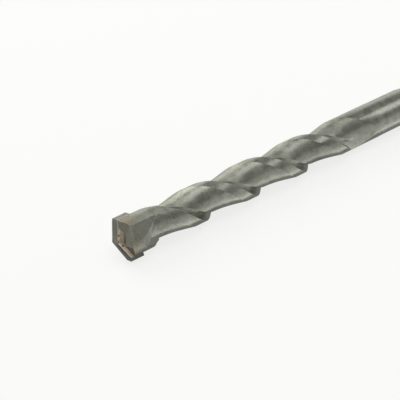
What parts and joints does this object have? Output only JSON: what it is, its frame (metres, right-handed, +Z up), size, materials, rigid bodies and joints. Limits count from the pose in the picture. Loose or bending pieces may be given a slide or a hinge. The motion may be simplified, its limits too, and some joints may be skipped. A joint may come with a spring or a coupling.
{
  "type": "sds plus drill bit",
  "caption": "Masonry drill bit with a grooved quick-change hammer shank, a steep twin-start spiral body and a brazed carbide plate at the tip.",
  "frame": {"origin": "centre of the flat striking face at the end of the shank", "axes": "+X along the axis, out of the striking face, so that the tip points to -X; +Z up with the bit lying on its side; the camera of the picture is on the -Y side"},
  "size_m": [0.16, 0.0106, 0.0108],
  "materials": {
    "steel": "satin, shot-blasted and slightly mottled",
    "carbide": "matte sintered grey",
    "braze": "satin, heat stained"
  },
  "bodies": {
    "root": {"steel_body": "steel", "carbide_tip": "carbide", "braze_seam": "braze"}
  },
  "joints": []
}
